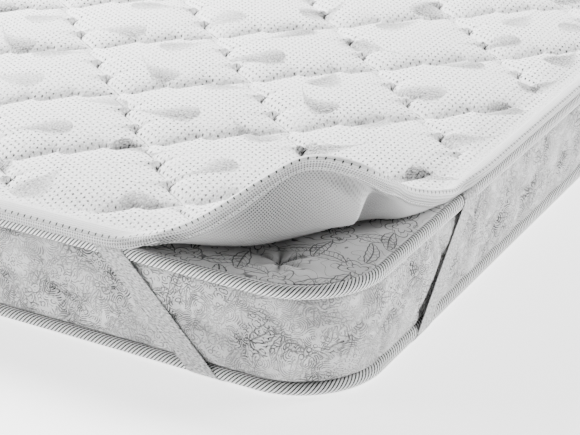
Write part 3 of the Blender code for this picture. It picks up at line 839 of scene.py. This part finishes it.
def filled(loop, inner):
    """Triangles over a closed loop with inner points; the loop's vertices come first."""
    count = len(loop)
    points = [tuple(p) for p in np.vstack([loop, inner])]
    edges = [(k, (k + 1) % count) for k in range(count)]
    _, _, faces, origins, _, _ = delaunay_2d_cdt(points, edges, [], 1, 1e-7)
    order = np.array([sources[0] for sources in origins])
    return order[np.array(faces)]


FOLDS = (  # lobes and the hollow of the lifted backing
    {"across": 0.070, "out": -0.135, "left": 0.060, "right": 0.013, "tall": 0.070, "depth": 0.030},
    {"across": 0.104, "out": -0.165, "left": 0.014, "right": 0.035, "tall": 0.085, "depth": -0.018},
    {"across": 0.190, "out": -0.215, "left": 0.030, "right": 0.040, "tall": 0.035, "depth": 0.008},
)


def fold_heights(points):
    """Heights of the backing's soft lobes, at flat points."""
    out, across = diagonal(points)
    heights = np.zeros(len(points))
    for fold in FOLDS:
        apart = across - fold["across"]
        reach = np.where(apart < 0, fold["left"], fold["right"])
        rise = (out - fold["out"]) / fold["tall"]
        heights -= fold["depth"] * np.exp(-((apart / reach) ** 2) - rise**2)
    heights *= smooth(lifted(points[:, :2])[:, 2] - TOPPER_Z, 0.010, 0.045)
    return heights * smooth(edge_depth(points), BAND_IN - 0.002, BAND_IN + 0.018)


RIM_STATIONS = 1320
travel = stations(RIM_STATIONS)
line = edge_line(travel)
rim = (
    (-BAND_IN - 0.004, 0.0),
    (-BAND_IN, 0.0016),
    (0.0038, 0.0016),
    (0.0075, 0.0053),
    (0.0078, 0.0115),
    (0.0018, RIM_HEIGHT - 0.0012),
    (-BAND_IN, RIM_HEIGHT - 0.0002),
)
rim_rows = carried(line, [offset for offset, _ in rim], [height for _, height in rim])
quilt = quilted_points()
fine = np.arange(0.0, 0.60, 0.005)
left, back = (grid.ravel() for grid in np.meshgrid(fine, fine))
close = np.column_stack([HALF_WIDTH - left, back - HALF_LENGTH])[left + back < 0.58]
coarse = np.meshgrid(np.arange(-0.6, 0.7, 0.1), np.arange(-0.9, 1.0, 0.1))
wide_x, wide_y = (grid.ravel() for grid in coarse)
wide = np.column_stack([wide_x, wide_y])[wide_x - wide_y < HALF_WIDTH + HALF_LENGTH - 0.62]
backing = np.vstack([close, wide])
backing = backing[edge_depth(backing) > BAND_IN + 0.009]
backing = np.column_stack([backing, fold_heights(backing)])
quilt[:, 2] += np.maximum(fold_heights(quilt), 0.0)
top_faces = filled(rim_rows[-1][:, :2], quilt[:, :2])
low_faces = filled(rim_rows[0][:, :2], backing[:, :2])
count = RIM_STATIONS
rim_count = len(rim) * count
top_faces = top_faces + (rim_count - count)
low_start = rim_count + len(quilt) - count
low_faces = np.where(low_faces < count, low_faces, low_faces + low_start)[:, ::-1]
points = np.vstack([rim_rows.reshape(-1, 3), quilt[:, :3], backing])
unshifted = points[:, :2] - QUILT_SHIFT
cells = np.column_stack([unshifted.sum(axis=1), unshifted[:, 1] - unshifted[:, 0]])
cells = (cells + HALF_DIAGONAL) / (2 * HALF_DIAGONAL)
cells[rim_count : rim_count + len(quilt)] = quilt[:, 3:]
faces = [tuple(face) for face in ring_faces(len(rim), count)]
faces += [tuple(face) for face in top_faces] + [tuple(face) for face in low_faces]
pad = new_piece("quilted_pad", on_topper(points), faces, points[:, :2])
corners = np.empty(len(pad.data.loops), dtype=np.int32)
pad.data.loops.foreach_get("vertex_index", corners)
layer = pad.data.uv_layers.new(name="cells")
layer.data.foreach_set("uv", cells[corners].astype(np.float32).ravel())

knit = Cloth("dotted_knit", 0.85, sheen=0.3)
drift = knit.paint.noise(knit.flat, 9.0, 1.0)
x = knit.x + (drift - 0.5) * 0.006
y = knit.y + (drift - 0.5) * 0.004
DOT_PITCH = 0.0128
DOT_COLUMN = DOT_PITCH * math.sqrt(3)
DOT_TURN = math.radians(28.0)


def pin_holes(shift):
    """Distance from one of the two nets of holes, each hole drawn out along its own slant."""
    over = x.repeat(DOT_COLUMN, shift)
    up = y.repeat(DOT_PITCH, shift)
    short = over * math.cos(DOT_TURN) + up * math.sin(DOT_TURN)
    long = (up * math.cos(DOT_TURN) - over * math.sin(DOT_TURN)) * 0.55
    return (short**2 + long**2).plain("SQRT")


dots = pin_holes(0.0).least(pin_holes(0.5)).ramp(0.0021, 0.0010)

cells = knit.paint.node("UVMap", {"uv_map": "cells"})
p = knit.paint.node("SeparateXYZ", None, {"Vector": cells}, 0) * CELL_SIDE
q = knit.paint.node("SeparateXYZ", None, {"Vector": cells}, 1) * CELL_SIDE


FEATHER_TILE = 0.165
FEATHER_PLACE = (-0.030, -0.065)  # the middle of one tile


def feathers():
    """Soft curved feathers, one a tile, each turned, moved and sized its own way."""
    tile_x = (knit.x - FEATHER_PLACE[0]) * (1 / FEATHER_TILE) + 0.5
    tile_y = (knit.y - FEATHER_PLACE[1]) * (1 / FEATHER_TILE) + 0.5
    tile = knit.paint.node(
        "CombineXYZ", None, {"X": tile_x.plain("FLOOR"), "Y": tile_y.plain("FLOOR")}
    )
    random = knit.paint.node("TexWhiteNoise", {"noise_dimensions": "2D"}, {"Vector": tile}, 1)
    first, second, third = (
        knit.paint.node("SeparateColor", None, {"Color": random}, k) for k in range(3)
    )
    turn = first * 1.9 + (second * 2.0).plain("FLOOR") * math.pi - 0.35
    fx = (tile_x.plain("FRACT") - 0.5) * FEATHER_TILE + (third - 0.5) * 0.050
    fy = (tile_y.plain("FRACT") - 0.5) * FEATHER_TILE + (first - 0.5) * 0.030
    length = third * 0.030 + 0.108
    cosine, sine = turn.plain("COSINE"), turn.plain("SINE")
    share = (fx * cosine + fy * sine) / length + 0.5
    bow = ((share - 0.25) ** 2) * length * (1.3 - second * 2.6)
    aside = fy * cosine - fx * sine - bow
    taper = (share.most(0.0) ** 0.5) * ((1.0 - share).most(0.0) ** 2.2)
    width = taper * length * 0.95
    combed = knit.paint.node(
        "CombineXYZ", None, {"X": share * 30.0 + aside.plain("ABSOLUTE") * 300.0, "Y": first * 40.0}
    )
    comb = knit.paint.noise(combed, 1.0, 1.0)
    inside = (aside.plain("ABSOLUTE") / width.most(0.0004) + comb * 1.1).ramp(1.75, 1.05)
    edge = (aside / width.most(0.0004)).ramp(-1.2, 1.2) * 0.7 + 0.3
    fade = share.ramp(1.05, 0.20) * 0.8 + 0.2
    strength = (second * 5.0).plain("FRACT") * 0.65 + 0.40
    body = inside * width.ramp(0.0003, 0.002) * edge * fade * (comb * 0.8 + 0.5)
    quill = aside.plain("ABSOLUTE").ramp(0.0022, 0.0006)
    quill = quill * share.ramp(1.25, 0.9) * share.ramp(0.1, 0.4)
    mark = body.most(quill * 0.34) * (strength * 2.1)
    return mark / (mark + 1.0)


leaf = feathers()
stretch = knit.paint.node("CombineXYZ", None, {"X": knit.x, "Y": knit.y * 0.55})
grain = knit.paint.noise(stretch, 330.0, 3.0, 0.6)
loops = knit.paint.noise(knit.flat, 150.0, 1.0)
strong = knit.paint.noise(knit.flat, 14.0, 1.0).ramp(0.35, 0.65) * 0.4 + 0.6
arc_x = knit.x.plain("ABSOLUTE") - ARC_X
arc_y = knit.y.plain("ABSOLUTE") - ARC_Y
outside = (arc_x.most(0.0) ** 2 + arc_y.most(0.0) ** 2).plain("SQRT") - CORNER_RADIUS
outside = outside + arc_x.most(arc_y).least(0.0)
dots = dots * (1 - leaf.ramp(0.10, 0.35)) * outside.ramp(-0.016, -0.024)
seam_a = (knit.x + knit.y + (HALF_DIAGONAL - sum(QUILT_SHIFT))) * math.sqrt(0.5)
seam_b = (knit.y - knit.x + (HALF_DIAGONAL + QUILT_SHIFT[0] - QUILT_SHIFT[1])) * math.sqrt(0.5)
knob_a = (seam_a + (KNOB_IN - KNOB_OUT)).repeat(CELL_SIDE)
# Painted shade: a thin dark line along the seams and a dark arc round each knob, for the shade in
# the seam's valley.
crease = (p.repeat(CELL_SIDE) / 0.0016).plain("ABSOLUTE").ramp(1.0, 0.4) * 0.8
for turn in (1, 2):
    tip = (turn + SCALLOP_SLOW - SCALLOP_START) / SCALLOPS
    knob_b = (seam_b + CELL_SIDE * tip).repeat(CELL_SIDE)
    knob_far = (knob_a**2 + knob_b**2).plain("SQRT")
    knob_arc_shade = (knob_far - 0.0080).plain("ABSOLUTE").ramp(0.0020, 0.0007) * knob_a.ramp(-0.0045, 0.001)
    crease = crease.most(knob_arc_shade)
crease = crease * outside.ramp(-0.040, -0.080)
tone = 0.85 - dots * strong * 0.84 - leaf * 1.05 + (grain - 0.5) * 2.00 + (loops - 0.5) * 0.20
# The seam line and knob arcs darken the knit as painted shade.
tone = tone - crease * 0.52
knit_relief = grain * 0.0008 + loops * 0.0008 - dots * 0.0014 - leaf * 0.0005
pad.data.materials.append(knit.finish(tone.shade(grey(0.0), grey(1.0)), knit_relief))

MESH_PITCH = 0.0042
mesh_back = Cloth("knitted_backing", 0.85, sheen=0.2)
holes = mesh_back.x.repeat(MESH_PITCH) ** 2 + mesh_back.y.repeat(MESH_PITCH) ** 2
holes = holes.plain("SQRT").ramp(0.0018, 0.0008)
grain = mesh_back.paint.noise(mesh_back.flat, 500.0, 2.0)
out = (mesh_back.x - mesh_back.y) * math.sqrt(0.5)
near_edge = out.ramp(0.96, 1.08)
near_end = (mesh_back.x + mesh_back.y).ramp(-0.15, -0.42)
holes = holes * near_edge * (near_end * 0.7 + 0.3)
# Painted shade: the hollow between the lifted lobes is painted darker, and so is the lifted
# underside near the rim towards the left.
across = (mesh_back.x + mesh_back.y + (HALF_LENGTH - HALF_WIDTH)) * math.sqrt(0.5)
hollow_shade = across.ramp(0.082, 0.096) * across.ramp(0.180, 0.108) * out.ramp(0.90, 0.98)
tone = 0.52 - holes * 0.40 - near_edge * near_end * 0.06 - hollow_shade * 0.24 + (grain - 0.5) * 0.30
relief = grain * 0.0003 - holes * 0.0010
pad.data.materials.append(mesh_back.finish(tone.shade(grey(0.0), grey(1.0)), relief))
under = np.zeros(len(pad.data.polygons), dtype=np.int32)
under[-len(low_faces) :] = 1
under[: 2 * RIM_STATIONS] = 1
pad.data.polygons.foreach_set("material_index", under)

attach(pad, "root")
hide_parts("topper_pad")

# ---------------------------------------------------------------- edge band
# A ribbed knit band folded over the pad's rim and overlocked all the way round. Its needle
# holes show as a row of short slots, with rows of short thread stitches below them.

band_outer = (
    (-0.0120, 0.0000),
    (-0.0080, -0.0001),
    (-0.0040, -0.0001),
    (0.0000, 0.0001),
    (0.0032, 0.0006),
    (0.0060, 0.0018),
    (0.0082, 0.0038),
    (0.0093, 0.0062),
    (0.0096, 0.0090),
    (0.0092, 0.0118),
    (0.0080, 0.0142),
    (0.0060, 0.0161),
    (0.0032, 0.0174),
    (0.0000, 0.0182),
    (-0.0040, 0.0187),
    (-0.0080, 0.0189),
    (-0.0118, 0.0187),
    (-0.0124, 0.0179),
)
band_inner = (
    (-0.0110, 0.0177),
    (0.0020, 0.0168),
    (0.0078, 0.0120),
    (0.0081, 0.0052),
    (0.0040, 0.0013),
    (-0.0120, 0.0012),
)
band_profile = np.array(band_outer + band_inner)
travel = stations(RIM_STATIONS)
line = edge_line(travel)
band_rows = carried(line, band_profile[:, 0], band_profile[:, 1])
down = profile_travel(band_profile[:, 0], band_profile[:, 1])
flat = np.column_stack([np.tile(travel, len(down)), np.repeat(down, RIM_STATIONS)])
faces = ring_faces(len(down), RIM_STATIONS, closed=True)
band = new_piece("edge_band", on_topper(band_rows.reshape(-1, 3)), faces, flat, PERIMETER)

SLOT_ROW = 0.0352
SLOT_PITCH = 0.0122
TICK_PITCH = 0.0046
RIB_PITCH = 0.0030
ROW_PITCH = 0.0040
ribbed = Cloth("ribbed_knit_band", 0.8, sheen=0.3)
lift = ribbed.x.ramp(0.90, 0.99) * ribbed.x.ramp(1.64, 1.56)
drop = ribbed.x.ramp(1.38, 1.26) * 0.0066 + ribbed.x.ramp(1.36, 1.42) * 0.0056 + 0.0072
down = ribbed.y + lift * drop
ribs = down.repeat(RIB_PITCH).plain("ABSOLUTE").ramp(0.0013, 0.0005)
slot_x = ribbed.x.repeat(SLOT_PITCH) * 2.0
slot_y = down - SLOT_ROW
slots = (slot_x**2 + slot_y**2).plain("SQRT").ramp(0.0032, 0.0020)
# Painted shade: the band below the slot row is painted darker where it turns down, and its lowest
# strip by the tape darker still, away from the lifted corner.
lower = down.ramp(SLOT_ROW - 0.004, SLOT_ROW - 0.012)
tick = ribbed.x.repeat(TICK_PITCH).plain("ABSOLUTE").ramp(0.0006, 0.0016)
rows = (down - SLOT_ROW).repeat(ROW_PITCH, 0.5).plain("ABSOLUTE").ramp(0.0018, 0.0008)
rows = rows * down.ramp(SLOT_ROW - 0.0024, SLOT_ROW - 0.0036) * down.ramp(0.002, 0.012)
grain = ribbed.paint.noise(ribbed.flat, 600.0, 2.0)
tape_contact_shade = ribbed.y.ramp(0.0195, 0.0160) * (1.0 - lift)
tone = 0.90 - ribs * 0.07 - slots * 0.86 - lower * 0.24 - tape_contact_shade * 0.50 + (grain - 0.5) * 0.24
tone = tone - rows * tick * 0.48
relief = grain * 0.0003 - ribs * 0.0005 - slots * 0.0012 - rows * tick * 0.0008
band.data.materials.append(ribbed.finish(tone.shade(grey(0.0), grey(1.0)), relief))

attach(band, "root")
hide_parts("edge_binding")

# ---------------------------------------------------------------- stitching
# White thread in short straight stitches, along the inner edge of the band under the topper,
# where the band is closed by machine.

STITCHES = 940
STITCH_LENGTH = 0.0040
THREAD_RADIUS = 0.0008
STITCH_IN = 0.0080
STITCH_STEPS = ((-0.50, 0.0003), (-0.25, -0.0003), (0.25, -0.0003), (0.50, 0.0003))

rings = []
for step, height in STITCH_STEPS:
    travel = (stations(STITCHES) + step * STITCH_LENGTH) % PERIMETER
    line = edge_line(travel)
    for degrees in (0, 90, 180, 270):
        aside = THREAD_RADIUS * math.cos(math.radians(degrees)) - STITCH_IN
        rise = THREAD_RADIUS * math.sin(math.radians(degrees)) + height
        rings.append(np.column_stack([line[:, :2] + line[:, 2:] * aside, np.full(STITCHES, rise)]))
points = np.stack(rings, axis=1).reshape(-1, 3)
faces = []
for first in range(0, len(points), 16):
    for ring in range(3):
        for side in range(4):
            low = first + 4 * ring + side
            ahead = first + 4 * ring + (side + 1) % 4
            faces.append((low, ahead, ahead + 4, low + 4))
    faces.append((first + 3, first + 2, first + 1, first))
    faces.append((first + 12, first + 13, first + 14, first + 15))
thread = new_piece("hem_stitches", on_topper(points), faces, points[:, :2])
spun = Cloth("white_thread", 0.6, sheen=0.2)
twist = spun.paint.noise(spun.flat, 900.0, 1.0)
thread.data.materials.append(spun.finish(twist.shade(grey(0.80), grey(0.94)), twist * 0.0002))
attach(thread, "root")
